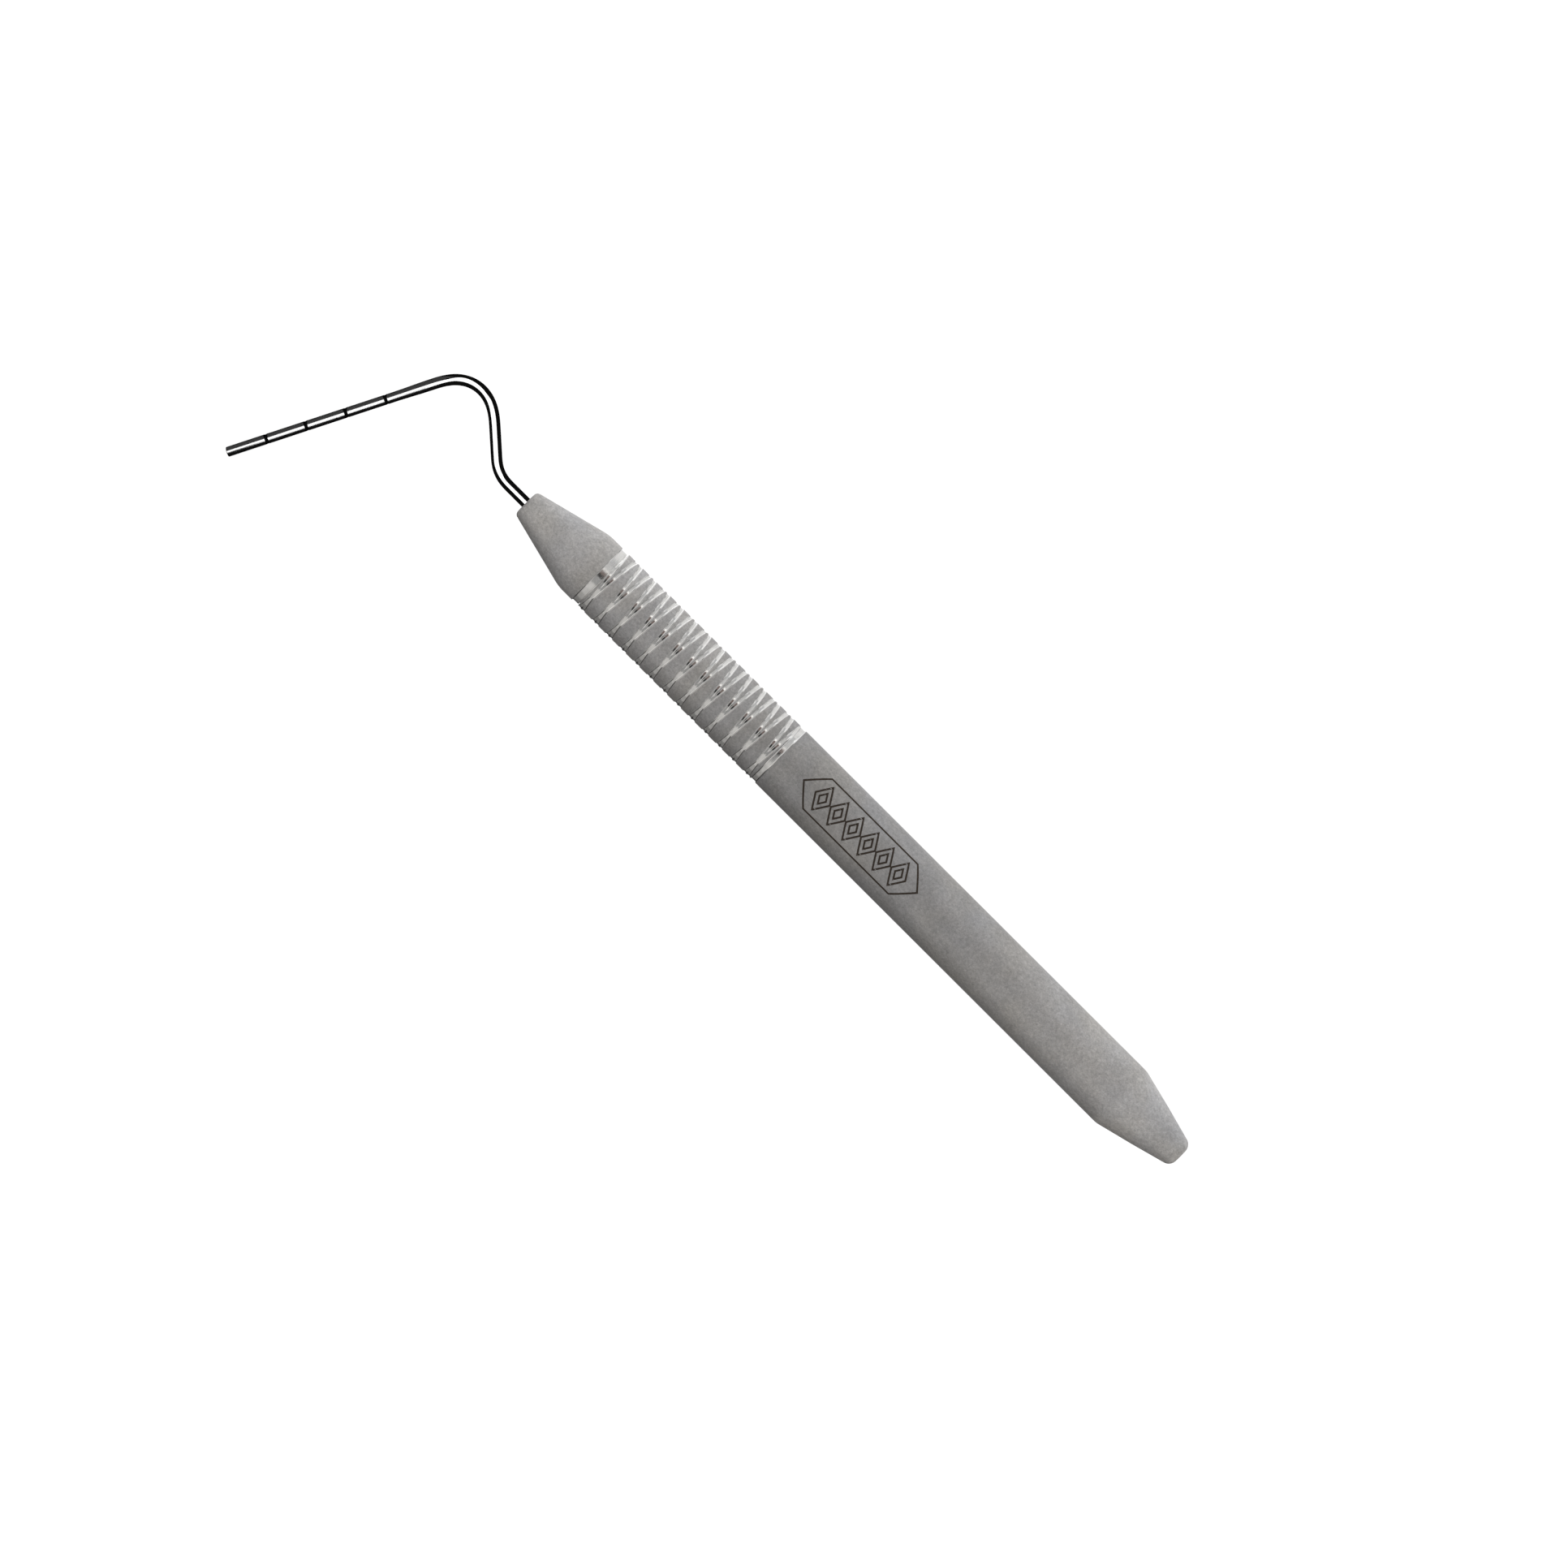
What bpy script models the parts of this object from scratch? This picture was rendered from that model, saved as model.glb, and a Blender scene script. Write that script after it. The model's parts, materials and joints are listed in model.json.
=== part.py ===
"""Endodontic plugger: a bent, depth-marked steel rod set in a hollow turned handle.

The instrument lies as it does on a tray. +Z is up, the handle's axis runs along X with its nose
towards +X, and the handle has rolled about that axis until the tip of the bent rod touches the
tray. The origin is the middle of the bounding box's bottom face. Units are metres.

All pieces are built in the handle's own frame: its origin is the centre of the nose face, +X
points out of the nose, and the rod's bends lie in its XY plane. An empty carries that frame.
"""

import math

import bmesh
import bpy
from mathutils import Vector

MM = 0.001

# Handle. Places along it are distances back from the nose face.
HANDLE_RADIUS = 4.25 * MM
HANDLE_LENGTH = 108.5 * MM
NOSE_FACE_RADIUS = 1.8 * MM
NOSE_CORNER = 0.5 * MM
NOSE_CONE_END = 9.6 * MM
NOSE_SHOULDER = 6.0 * MM
NECK_START = 11.8 * MM
NECK_DEPTH = 0.3 * MM
GRIP_START = 12.8 * MM
GRIP_END = 41.3 * MM
RELIEF_WIDTH = 0.9 * MM
RELIEF_DEPTH = 0.25 * MM
SEAM_REAR = 98.0 * MM
TAPER_START = 98.7 * MM
TAPER_MIDDLE = 103.4 * MM
TAPER_MIDDLE_RADIUS = 3.07 * MM
TAPER_END_RADIUS = 1.69 * MM
TAPER_SHOULDER = 3.0 * MM
TAPER_BULGE = 60.0 * MM
REAR_CORNER = 1.15 * MM

# Inside the handle
BORE_RADIUS = 3.45 * MM
SPIGOT_LENGTH = 5.5 * MM
SPIGOT_CHAMFER = 0.4 * MM
JOINT_GAP = 0.3 * MM

# Grip: two helical grooves of opposite hand that cross every lead
GROOVE_LEAD = 2.28 * MM
GROOVE_WIDTH = 0.43 * MM
GROOVE_DEPTH = 0.18 * MM
CROSSING_ANGLE = math.radians(27.3)
CUTTER_OVERSHOOT = 0.35 * MM

# Rod, measured along its centreline from the nose face
SHANK_RADIUS = 0.675 * MM
TIP_RADIUS = 0.6 * MM
LEAD_OUT = 2.45 * MM
BEND_1_LENGTH = 4.4 * MM
BEND_1_TURN = math.radians(-42.4)
BETWEEN_BENDS = 3.1 * MM
BEND_2_LENGTH = 11.35 * MM
BEND_2_TURN = math.radians(105.7)
MARKED_LENGTH = 25.6 * MM
SHANK_TAPER = 4.8 * MM
TIP_CHAMFER = 0.07 * MM
TANG_LENGTH = 11.5 * MM
TANG_CHAMFER = 0.2 * MM

# Depth marks, measured back from the tip
MARKS = {"depth_mark_05": 5 * MM, "depth_mark_10": 10 * MM, "depth_mark_15": 15 * MM, "depth_mark_20": 20 * MM}
MARK_WIDTH = 0.3 * MM
MARK_DEPTH = 0.1 * MM
MARK_GAP = 0.01 * MM

HANDLE_SIDES = 32
GROOVE_SIDES = 20
ROD_SIDES = 16
MERGE = 0.0005 * MM

ROD_LENGTH = LEAD_OUT + BEND_1_LENGTH + BETWEEN_BENDS + BEND_2_LENGTH + MARKED_LENGTH
BEND_2_START = LEAD_OUT + BEND_1_LENGTH + BETWEEN_BENDS
TIP_HEADING = BEND_1_TURN + BEND_2_TURN
SOCKET_RADIUS = SHANK_RADIUS + JOINT_GAP
SPIGOT_RADIUS = BORE_RADIUS - JOINT_GAP

BLASTED_STEEL = ((0.36, 0.35, 0.335, 1.0), 0.55, 1.0)
POLISHED_STEEL = ((0.62, 0.62, 0.62, 1.0), 0.12, 1.0)
BLACK_ENAMEL = ((0.012, 0.012, 0.012, 1.0), 0.45, 0.0)


def clear_scene():
    for obj in list(bpy.data.objects):
        bpy.data.objects.remove(obj, do_unlink=True)


def new_object(name, bm, parent, finish):
    """Turns a bmesh into a named, smooth-shaded object with its own material."""
    bmesh.ops.remove_doubles(bm, verts=bm.verts, dist=MERGE)
    bmesh.ops.recalc_face_normals(bm, faces=bm.faces)
    mesh = bpy.data.meshes.new(name)
    bm.to_mesh(mesh)
    bm.free()
    mesh.shade_smooth()
    mesh.set_sharp_from_angle(angle=math.radians(30))
    obj = bpy.data.objects.new(name, mesh)
    bpy.context.scene.collection.objects.link(obj)
    obj.parent = parent
    if finish:
        obj.data.materials.append(new_material(name, *finish))
    return obj


def new_material(name, colour, roughness, metallic):
    material = bpy.data.materials.new(name)
    material.use_nodes = True
    shader = material.node_tree.nodes["Principled BSDF"]
    shader.inputs["Base Color"].default_value = colour
    shader.inputs["Roughness"].default_value = roughness
    shader.inputs["Metallic"].default_value = metallic
    material.diffuse_color = colour
    return material


def rounded(corners, steps=4):
    """An outline through corners (x, r), where a third value is the radius that rounds the corner."""
    points = []
    for index, corner in enumerate(corners):
        here = Vector(corner[:2])
        if len(corner) == 2:
            points.append(here)
            continue
        before = (Vector(corners[index - 1][:2]) - here).normalized()
        after = (Vector(corners[index + 1][:2]) - here).normalized()
        half_angle = before.angle(after) / 2
        centre = here + (before + after).normalized() * corner[2] / math.sin(half_angle)
        tangent = corner[2] / math.tan(half_angle)
        start = (here + before * tangent - centre).normalized()
        end = (here + after * tangent - centre).normalized()
        for step in range(steps + 1):
            points.append(centre + start.slerp(end, step / steps) * corner[2])
    return points


def lathe(outline, sides, closed):
    """Turns an outline of (x, r) points about the X axis. An open outline starts and ends on the axis."""
    bm = bmesh.new()
    verts = [bm.verts.new((x, 0, r)) for x, r in outline]
    edges = [bm.edges.new(pair) for pair in zip(verts, verts[1:])]
    if closed:
        edges.append(bm.edges.new((verts[-1], verts[0])))
    bmesh.ops.spin(
        bm, geom=verts + edges, axis=(1, 0, 0), cent=(0, 0, 0), angle=2 * math.pi, steps=sides, use_merge=True
    )
    return bm


def nose_cone(handle):
    """The front cone, with the socket for the rod and the spigot that fills the end of the tube."""
    socket_end = TANG_LENGTH + JOINT_GAP
    shoulder = GRIP_START - JOINT_GAP
    spigot_end = GRIP_START + SPIGOT_LENGTH
    outline = rounded([
        (-socket_end, 0),
        (-socket_end, SOCKET_RADIUS),
        (0, SOCKET_RADIUS),
        (0, NOSE_FACE_RADIUS, NOSE_CORNER),
        (-NOSE_CONE_END, HANDLE_RADIUS, NOSE_SHOULDER),
        (-NECK_START, HANDLE_RADIUS),
        (-NECK_START, HANDLE_RADIUS - NECK_DEPTH),
        (-shoulder, HANDLE_RADIUS - NECK_DEPTH),
        (-shoulder, SPIGOT_RADIUS),
        (-spigot_end + SPIGOT_CHAMFER, SPIGOT_RADIUS),
        (-spigot_end, SPIGOT_RADIUS - SPIGOT_CHAMFER),
        (-spigot_end, 0),
    ])
    return new_object("nose_cone", lathe(outline, HANDLE_SIDES, closed=False), handle, BLASTED_STEEL)


def end_plug(handle):
    """The tapered rear end, with a spigot like the nose's and a small flat end face."""
    shoulder = SEAM_REAR + JOINT_GAP
    spigot_end = SEAM_REAR - SPIGOT_LENGTH
    outline = rounded([
        (-spigot_end, 0),
        (-spigot_end, SPIGOT_RADIUS - SPIGOT_CHAMFER),
        (-spigot_end - SPIGOT_CHAMFER, SPIGOT_RADIUS),
        (-shoulder, SPIGOT_RADIUS),
        (-shoulder, HANDLE_RADIUS),
        (-TAPER_START, HANDLE_RADIUS, TAPER_SHOULDER),
        (-TAPER_MIDDLE, TAPER_MIDDLE_RADIUS, TAPER_BULGE),
        (-HANDLE_LENGTH, TAPER_END_RADIUS, REAR_CORNER),
        (-HANDLE_LENGTH, 0),
    ])
    return new_object("end_plug", lathe(outline, HANDLE_SIDES, closed=False), handle, BLASTED_STEEL)


def helical_cutter(hand, handle):
    """A square-section rib that winds round the grip, starting in front of it and ending in the relief.

    The two hands differ by two facets, so that no edges of one coincide with the other's where they cross.
    """
    reach = (GRIP_END - GRIP_START) / 2 + CUTTER_OVERSHOOT
    middle = (GRIP_START + GRIP_END) / 2
    turns = 2 * reach / GROOVE_LEAD
    steps = round(turns * GROOVE_SIDES) + hand
    start_angle = CROSSING_ANGLE - hand * math.pi * turns
    radial = Vector((0, math.sin(start_angle), math.cos(start_angle)))
    bm = bmesh.new()
    section = []
    for along, radius in ((-1, -1), (1, -1), (1, 1), (-1, 1)):
        height = HANDLE_RADIUS + GROOVE_DEPTH * radius
        section.append(bm.verts.new(Vector((reach - middle + along * GROOVE_WIDTH / 2, 0, 0)) + radial * height))
    bm.faces.new(section)
    bmesh.ops.spin(
        bm,
        geom=section + bm.edges[:] + bm.faces[:],
        axis=(-1, 0, 0),
        cent=(0, 0, 0),
        angle=hand * 2 * math.pi * turns,
        steps=steps,
        dvec=(-2 * reach / steps, 0, 0),
    )
    cutter = new_object(f"groove_cutter_{'left' if hand < 0 else 'right'}", bm, handle, None)
    cutter.hide_render = True
    cutter.display_type = "WIRE"
    return cutter


def handle_tube(handle):
    """The hollow barrel: grip, relief groove and plain length, turned from one tube."""
    relief_end = GRIP_END + RELIEF_WIDTH
    relief_radius = HANDLE_RADIUS - RELIEF_DEPTH
    outline = [
        (-GRIP_START, BORE_RADIUS),
        (-GRIP_START, HANDLE_RADIUS),
        (-GRIP_END, HANDLE_RADIUS),
        (-GRIP_END, relief_radius),
        (-relief_end, relief_radius),
        (-relief_end, HANDLE_RADIUS),
        (-SEAM_REAR, HANDLE_RADIUS),
        (-SEAM_REAR, BORE_RADIUS),
    ]
    tube = new_object("handle_tube", lathe(outline, HANDLE_SIDES, closed=True), handle, BLASTED_STEEL)
    for hand in (1, -1):
        cut = tube.modifiers.new("groove", "BOOLEAN")
        cut.operation = "DIFFERENCE"
        cut.solver = "EXACT"
        cut.object = helical_cutter(hand, handle)
    return tube


def eased(share):
    """Runs from 0 to 1 with a soft start and end, so that the rod's curvature grows and fades."""
    share = min(max(share, 0), 1)
    return share * share * (3 - 2 * share)


def heading(along):
    """The centreline's direction in the bend plane, as an angle from +X."""
    first = eased((along - LEAD_OUT) / BEND_1_LENGTH)
    second = eased((along - BEND_2_START) / BEND_2_LENGTH)
    return BEND_1_TURN * first + BEND_2_TURN * second


def centre(along, step=0.1 * MM):
    """The centreline's point at a distance from the nose face, by adding up short straight steps."""
    if along <= LEAD_OUT:
        return Vector((along, 0, 0))
    count = math.ceil((along - LEAD_OUT) / step)
    piece = (along - LEAD_OUT) / count
    point = Vector((LEAD_OUT, 0, 0))
    for index in range(count):
        turn = heading(LEAD_OUT + (index + 0.5) * piece)
        point += Vector((math.cos(turn), math.sin(turn), 0)) * piece
    return point


def rod_radius(along):
    """The drawn rod thins from the shank to the marked length."""
    share = (along - (BEND_2_START + BEND_2_LENGTH)) / SHANK_TAPER
    return SHANK_RADIUS + (TIP_RADIUS - SHANK_RADIUS) * eased(share)


def rod_stations():
    """Pairs of (distance along the centreline, radius) for every ring of the rod, back to front."""
    stations = [(-TANG_LENGTH, SHANK_RADIUS - TANG_CHAMFER), (-TANG_LENGTH + TANG_CHAMFER, SHANK_RADIUS)]
    stretches = (
        (0, LEAD_OUT, 1),
        (LEAD_OUT, BEND_1_LENGTH, 9),
        (LEAD_OUT + BEND_1_LENGTH, BETWEEN_BENDS, 1),
        (BEND_2_START, BEND_2_LENGTH, 18),
        (BEND_2_START + BEND_2_LENGTH, SHANK_TAPER, 4),
    )
    for start, length, count in stretches:
        for index in range(count):
            along = start + length * index / count
            stations.append((along, rod_radius(along)))
    for distance in sorted(MARKS.values(), reverse=True):
        back = ROD_LENGTH - distance - MARK_WIDTH / 2
        front = ROD_LENGTH - distance + MARK_WIDTH / 2
        floor = TIP_RADIUS - MARK_DEPTH
        stations += [(back, TIP_RADIUS), (back, floor), (front, floor), (front, TIP_RADIUS)]
    stations += [(ROD_LENGTH - TIP_CHAMFER, TIP_RADIUS), (ROD_LENGTH, TIP_RADIUS - TIP_CHAMFER)]
    return stations


def working_end(handle):
    """The rod: tang, double-bent shank and marked plugger end with grooves for the depth marks."""
    bm = bmesh.new()
    rings = []
    for along, radius in rod_stations():
        turn = heading(along)
        sideways = Vector((-math.sin(turn), math.cos(turn), 0))
        ring = []
        for side in range(ROD_SIDES):
            angle = 2 * math.pi * side / ROD_SIDES
            offset = sideways * math.cos(angle) + Vector((0, 0, math.sin(angle)))
            ring.append(bm.verts.new(centre(along) + offset * radius))
        rings.append(ring)
    for back, front in zip(rings, rings[1:]):
        for side in range(ROD_SIDES):
            after = (side + 1) % ROD_SIDES
            bm.faces.new((back[side], back[after], front[after], front[side]))
    bm.faces.new(rings[0])
    bm.faces.new(rings[-1])
    return new_object("working_end", bm, handle, POLISHED_STEEL)


def depth_mark(name, distance, handle):
    """The enamel ring that fills one groove of the rod."""
    inner = TIP_RADIUS - MARK_DEPTH + MARK_GAP
    half_width = MARK_WIDTH / 2 - MARK_GAP
    outline = [(-half_width, inner), (-half_width, TIP_RADIUS), (half_width, TIP_RADIUS), (half_width, inner)]
    mark = new_object(name, lathe(outline, ROD_SIDES, closed=True), handle, BLACK_ENAMEL)
    mark.location = centre(ROD_LENGTH - distance)
    mark.rotation_euler = (0, 0, TIP_HEADING)
    return mark


def settle(handle, pieces):
    """Rolls the handle until the rod's tip is as low as the handle, then centres the whole on the origin."""
    tip = centre(ROD_LENGTH)
    roll = 0.0
    for _ in range(20):
        slope = math.sin(TIP_HEADING) * math.sin(roll)
        tip_drop = HANDLE_RADIUS - TIP_RADIUS * math.sqrt(1 - slope * slope)
        roll = math.asin(tip_drop / tip.y)
    handle.rotation_euler = (-roll, 0, 0)
    bpy.context.view_layer.update()
    points = [piece.matrix_world @ vert.co for piece in pieces for vert in piece.data.vertices]
    lowest = [min(point[axis] for point in points) for axis in range(3)]
    highest = [max(point[axis] for point in points) for axis in range(3)]
    handle.location = (-(lowest[0] + highest[0]) / 2, -(lowest[1] + highest[1]) / 2, -lowest[2])


def build():
    clear_scene()
    handle = bpy.data.objects.new("handle_frame", None)
    bpy.context.scene.collection.objects.link(handle)
    pieces = [nose_cone(handle), handle_tube(handle), end_plug(handle), working_end(handle)]
    for name, distance in MARKS.items():
        pieces.append(depth_mark(name, distance, handle))
    settle(handle, pieces)


build()
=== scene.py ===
"""The looks of the endodontic plugger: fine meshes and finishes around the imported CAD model.

Every piece is built in the handle's own frame, whose origin is the middle of the nose face, +X out of
the nose and the rod's bends in the XY plane, and is then laid where the CAD model lies. Sizes that the
frame gives are read from it. The others are the design's, in millimetres, with finer edges, and with
shallower grooves, neck and relief.
"""

import json
import math

import bmesh
import bpy
from mathutils import Matrix, Vector


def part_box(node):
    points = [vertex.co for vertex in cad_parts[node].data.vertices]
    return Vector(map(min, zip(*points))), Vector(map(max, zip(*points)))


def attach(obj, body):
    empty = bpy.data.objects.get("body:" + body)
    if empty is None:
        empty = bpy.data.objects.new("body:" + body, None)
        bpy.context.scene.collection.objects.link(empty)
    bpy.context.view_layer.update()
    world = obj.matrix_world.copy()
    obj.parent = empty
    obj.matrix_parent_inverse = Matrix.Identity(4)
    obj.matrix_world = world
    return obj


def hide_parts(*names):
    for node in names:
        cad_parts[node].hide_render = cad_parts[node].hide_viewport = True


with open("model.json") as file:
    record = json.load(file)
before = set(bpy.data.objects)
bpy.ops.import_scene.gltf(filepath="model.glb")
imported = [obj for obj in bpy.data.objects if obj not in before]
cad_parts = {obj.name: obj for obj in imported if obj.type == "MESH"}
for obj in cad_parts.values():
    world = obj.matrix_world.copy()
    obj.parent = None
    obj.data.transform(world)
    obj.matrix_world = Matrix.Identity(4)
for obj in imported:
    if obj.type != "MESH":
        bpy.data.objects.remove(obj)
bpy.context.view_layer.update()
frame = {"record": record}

MM = 0.001

# Where the CAD model lies
NOSE_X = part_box("nose_cone")[1].x
REAR_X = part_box("end_plug")[0].x
TUBE_LOW, TUBE_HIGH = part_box("handle_tube")
AXIS = Vector((NOSE_X, (TUBE_LOW.y + TUBE_HIGH.y) / 2, (TUBE_LOW.z + TUBE_HIGH.z) / 2))
TIP = Vector(next(m["pos_m"] for m in frame["record"]["mounts"] if m["name"] == "tip_face"))
ROLL = math.atan2(AXIS.z - TIP.z, TIP.y - AXIS.y)
HANDLE_TO_WORLD = Matrix.Translation(AXIS) @ Matrix.Rotation(-ROLL, 4, "X")
# The angle round the rolled handle that faces straight up
ROLL_TO_VIEW = -ROLL

# Handle, measured back from the nose face
HANDLE_RADIUS = 4.25 * MM
HANDLE_LENGTH = NOSE_X - REAR_X
NOSE_FACE_RADIUS = 1.8 * MM
NOSE_CORNER = 0.6 * MM
NOSE_CONE_END = 9.6 * MM
NOSE_SHOULDER = 6.0 * MM
NECK_START = 11.8 * MM
NECK_DEPTH = 0.18 * MM
NECK_COVE = 0.12 * MM
GRIP_START = 12.8 * MM
GRIP_END = 41.45 * MM
GRIP_MIDDLE = 27.05 * MM
RELIEF_WIDTH = 0.74 * MM
RELIEF_DEPTH = 0.13 * MM
# The cove at either side of the relief, as (distance in from the side, height over the floor)
RELIEF_COVE = ((0.0, 0.06 * MM), (0.05 * MM, 0.02 * MM), (0.13 * MM, 0.0))
RELIEF_LIP = 0.3 * MM
SEAM_REAR = 98.0 * MM
TAPER_START = 98.7 * MM
TAPER_MIDDLE = 103.4 * MM
TAPER_MIDDLE_RADIUS = 3.07 * MM
TAPER_END_RADIUS = 1.69 * MM
TAPER_SHOULDER = 3.0 * MM
TAPER_BULGE = 60.0 * MM
REAR_CORNER = 1.15 * MM
EDGE_BREAK = 0.03 * MM
FRONT_SEAM = 0.1 * MM
FRONT_SEAM_DEPTH = 0.25 * MM
REAR_SEAM = 0.006 * MM
BORE_RADIUS = 3.45 * MM
SPIGOT_RADIUS = 3.43 * MM
SPIGOT_LENGTH = 5.5 * MM
SPIGOT_CHAMFER = 0.4 * MM

# Grip
GROOVE_LEAD = 2.28 * MM
GROOVE_WIDTH = 0.46 * MM
GROOVE_DEPTH = 0.09 * MM
# Half a groove from its flat floor up to the land, in shares of its half width and of its depth
GROOVE_SHAPE = ((0.33, 1.0), (0.67, 1.0), (0.82, 0.8), (0.92, 0.42), (1.0, 0.1))
LAND_EDGE = 0.03 * MM
CROSSING_ANGLE = math.radians(27.3)
LAND_LINES = 20
TRIM_SLACK = 0.001 * MM
RIM_MERGE = 0.002 * MM
ROUNDING = 1e-9

# Rod, measured along its centreline from the nose face
SHANK_RADIUS = 0.675 * MM
TIP_RADIUS = 0.6 * MM
LEAD_OUT = 2.45 * MM
BEND_1_LENGTH = 4.4 * MM
BEND_1_TURN = math.radians(-42.4)
BETWEEN_BENDS = 3.1 * MM
BEND_2_LENGTH = 11.35 * MM
BEND_2_TURN = math.radians(105.7)
MARKED_LENGTH = 25.6 * MM
SHANK_TAPER = 4.8 * MM
TIP_ROUND = 0.09 * MM
TANG_LENGTH = 11.5 * MM
ROD_LENGTH = LEAD_OUT + BEND_1_LENGTH + BETWEEN_BENDS + BEND_2_LENGTH + MARKED_LENGTH
BEND_2_START = LEAD_OUT + BEND_1_LENGTH + BETWEEN_BENDS
TIP_HEADING = BEND_1_TURN + BEND_2_TURN
MARKS = {5: "mark_ring_05", 10: "mark_ring_10", 15: "mark_ring_15", 20: "mark_ring_20"}
MARK_WIDTH = 0.36 * MM
MARK_DEPTH = 0.1 * MM
MARK_DIP = 0.035 * MM
MARK_GAP = 0.004 * MM
MARK_SMEAR = 0.1 * MM
MARK_FILM = 0.004 * MM
MARKS_START = ROD_LENGTH - 20.5 * MM
STATION_STEP = 0.25 * MM
TIP_ROUND_STEPS = 6

# Emblem on the barrel
EMBLEM_MIDDLE = 55.4 * MM
EMBLEM_LENGTH = 18.7 * MM
EMBLEM_HEIGHT = 5.2 * MM
EMBLEM_POINT = 2.3 * MM
EMBLEM_LINE = 0.23 * MM
EMBLEM_FILM = 0.003 * MM
EMBLEM_SINK = 0.05 * MM
EMBLEM_STEP = 0.2 * MM
LOZENGES = 6
LOZENGE_PITCH = 2.5 * MM
LOZENGE_HEIGHT = 3.7 * MM
LOZENGE_LENGTH = 2.3 * MM
CORE_SHARE = 0.45

LATHE_SIDES = 128
ROD_SIDES = 40
MERGE = 0.00005 * MM
SHARP_ANGLE = math.radians(30)

BLASTED, GROOVED, TURNED = 0, 1, 2

# Painted shade along the blasted steel, from the nose (0) to the rear (1): its colour is scaled to copy how
# the light falls along the handle, and it is darkest behind the grip
PAINTED_SHADE_ALONG_HANDLE = [(0.0, 0.95), (0.14, 0.95), (0.41, 0.78), (0.62, 0.83), (0.86, 1.0), (0.93, 0.96), (1.0, 0.93)]


# ---------------------------------------------------------------- finishes


def material_with(name):
    """An empty node material: (material, its nodes, a function that links two sockets)."""
    material = bpy.data.materials.new(name)
    material.use_nodes = True
    tree = material.node_tree
    return material, tree.nodes, tree.links.new


def noise(nodes, link, coordinates, size, detail=2.0, roughness=0.5):
    """A noise texture whose features are about size metres across."""
    node = nodes.new("ShaderNodeTexNoise")
    node.inputs["Scale"].default_value = 1 / size
    node.inputs["Detail"].default_value = detail
    node.inputs["Roughness"].default_value = roughness
    link(coordinates, node.inputs["Vector"])
    return node.outputs["Fac"]


def ramp(nodes, link, value, stops):
    """A colour ramp through (position, colour) stops; a number stands for a grey."""
    node = nodes.new("ShaderNodeValToRGB")
    elements = node.color_ramp.elements
    while len(elements) < len(stops):
        elements.new(0.5)
    for element, (position, colour) in zip(elements, stops):
        element.position = position
        element.color = (*colour, 1) if isinstance(colour, tuple) else (colour, colour, colour, 1)
    link(value, node.inputs["Fac"])
    return node.outputs["Color"]


def mixed(nodes, link, first, second, factor, blend="MIX"):
    """Two colours mixed by a factor, which is a number or a socket."""
    node = nodes.new("ShaderNodeMix")
    node.data_type = "RGBA"
    node.blend_type = blend
    link(first, node.inputs[6])
    link(second, node.inputs[7])
    if isinstance(factor, float):
        node.inputs[0].default_value = factor
    else:
        link(factor, node.inputs[0])
    return node.outputs[2]


def bump(nodes, link, shader, height, distance, strength=1.0):
    """Gives a shader the relief of a height between 0 and 1, distance metres deep."""
    node = nodes.new("ShaderNodeBump")
    node.inputs["Distance"].default_value = distance
    node.inputs["Strength"].default_value = strength
    link(height, node.inputs["Height"])
    link(node.outputs["Normal"], shader.inputs["Normal"])


def blasted_steel():
    """Bead-blasted stainless steel: fine grain, faint clouds, and painted shade that darkens its colour
    behind the grip to copy how the light falls along the handle.
    """
    material, nodes, link = material_with("blasted_steel")
    shader = nodes["Principled BSDF"]
    shader.inputs["Metallic"].default_value = 1.0
    place = nodes.new("ShaderNodeTexCoord").outputs["Object"]
    split = nodes.new("ShaderNodeSeparateXYZ")
    link(place, split.inputs["Vector"])
    back = nodes.new("ShaderNodeMapRange")
    back.inputs["From Min"].default_value = NOSE_X
    back.inputs["From Max"].default_value = REAR_X
    link(split.outputs["X"], back.inputs["Value"])
    clouds = noise(nodes, link, place, 3.6 * MM, detail=3.0, roughness=0.55)
    tints = noise(nodes, link, place, 6.0 * MM, detail=3.0)
    grain = noise(nodes, link, place, 0.16 * MM, detail=2.0, roughness=0.7)
    speckle = noise(nodes, link, place, 0.42 * MM, detail=3.0, roughness=0.75)
    colour = ramp(nodes, link, tints, [(0.35, (0.890, 0.880, 0.885)), (0.65, (0.925, 0.897, 0.865))])
    # Painted shade: the colour is darkened along the handle where less light falls, most just behind the grip
    painted_shade = ramp(nodes, link, back.outputs["Result"], PAINTED_SHADE_ALONG_HANDLE)
    for shade in (
        painted_shade,
        ramp(nodes, link, clouds, [(0.3, 0.90), (0.7, 1.0)]),
        ramp(nodes, link, grain, [(0.25, 0.72), (0.75, 1.0)]),
        ramp(nodes, link, speckle, [(0.25, 0.66), (0.75, 1.0)]),
    ):
        colour = mixed(nodes, link, colour, shade, 1.0, "MULTIPLY")
    link(colour, shader.inputs["Base Color"])
    link(ramp(nodes, link, clouds, [(0.3, 0.62), (0.7, 0.54)]), shader.inputs["Roughness"])
    bump(nodes, link, shader, grain, 0.014 * MM, 0.6)
    return material


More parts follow.
